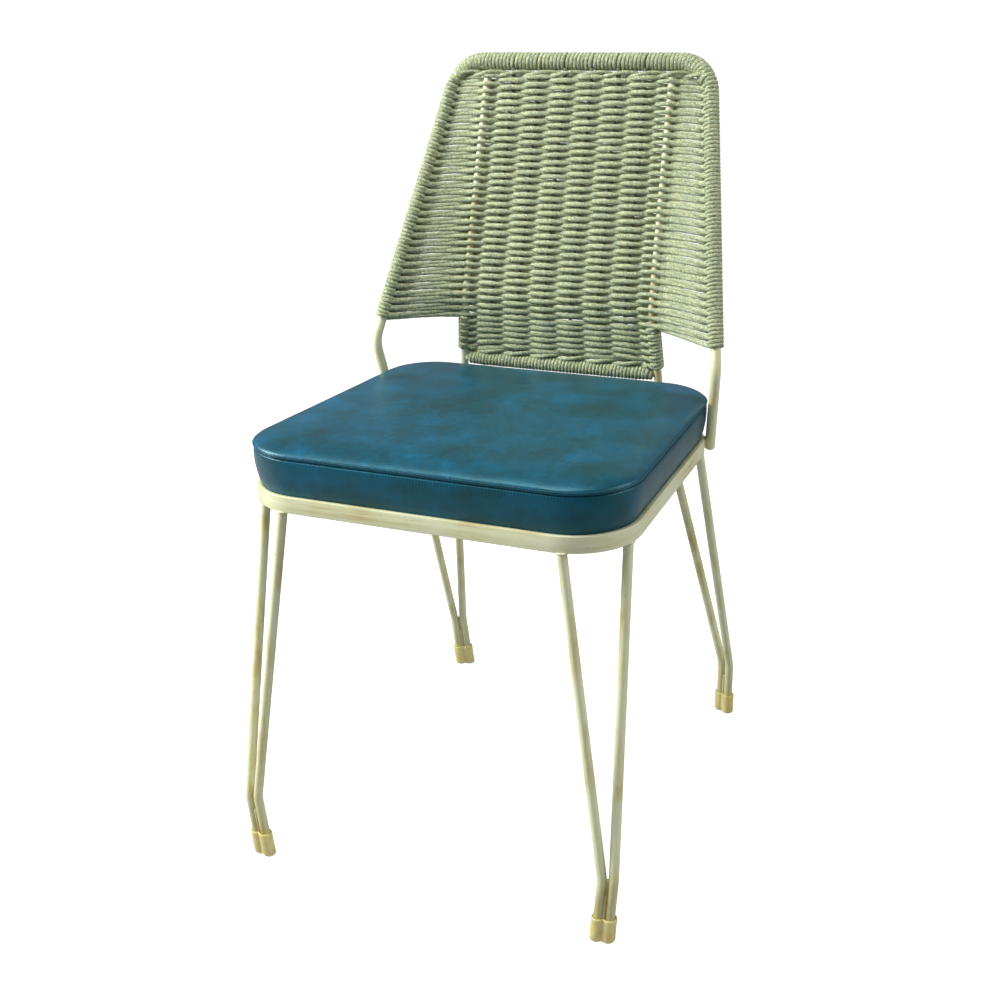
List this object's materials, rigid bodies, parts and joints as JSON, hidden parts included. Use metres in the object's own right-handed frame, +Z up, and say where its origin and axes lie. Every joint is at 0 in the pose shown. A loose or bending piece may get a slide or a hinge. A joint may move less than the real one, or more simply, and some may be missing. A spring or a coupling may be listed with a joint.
{
  "type": "side chair",
  "caption": "Armless side chair with a padded seat in a flat bar ring, splayed twin rod legs and a rope-woven reclined back on a tube hoop.",
  "frame": {"origin": "on the floor below the middle of the chair's box", "axes": "+Z up from the floor, +Y towards the back of the chair, +X to the right of someone who looks at it from the front"},
  "size_m": [0.4238, 0.5106, 0.8129],
  "materials": {
    "paint": "satin",
    "leatherette": "satin",
    "foam": "matte",
    "plywood": "matte",
    "rope": "matte",
    "soft_plastic": "satin",
    "zinc": "satin"
  },
  "bodies": {
    "root": {"back_cross_bar": "paint", "back_hoop": "paint", "back_upright_left": "paint", "back_upright_right": "paint", "cross_bar_winding": "rope", "front_foot_cap_left": "soft_plastic", "front_foot_cap_right": "soft_plastic", "front_leg_rod_a_left": "paint", "front_leg_rod_a_right": "paint", "front_leg_rod_b_left": "paint", "front_leg_rod_b_right": "paint", "rear_foot_cap_left": "soft_plastic", "rear_foot_cap_right": "soft_plastic", "rear_leg_rod_a_left": "paint", "rear_leg_rod_a_right": "paint", "rear_leg_rod_b_left": "paint", "rear_leg_rod_b_right": "paint", "seat_board": "plywood", "seat_cover": "leatherette", "seat_foam": "foam", "seat_ring": "paint", "seat_screw_1": "zinc", "seat_screw_2": "zinc", "seat_screw_3": "zinc", "seat_screw_4": "zinc", "seat_tab_front_left": "paint", "seat_tab_front_right": "paint", "seat_tab_rear_left": "paint", "seat_tab_rear_right": "paint", "side_wrap_left": "rope", "side_wrap_right": "rope", "top_rail_winding": "rope", "upright_wrap_left": "rope", "upright_wrap_right": "rope", "warp_cord_1": "rope", "warp_cord_2": "rope", "warp_cord_3": "rope", "warp_cord_4": "rope", "warp_cord_5": "rope", "warp_cord_6": "rope", "woven_centre": "rope", "woven_wing_left": "rope", "woven_wing_right": "rope"}
  },
  "joints": []
}
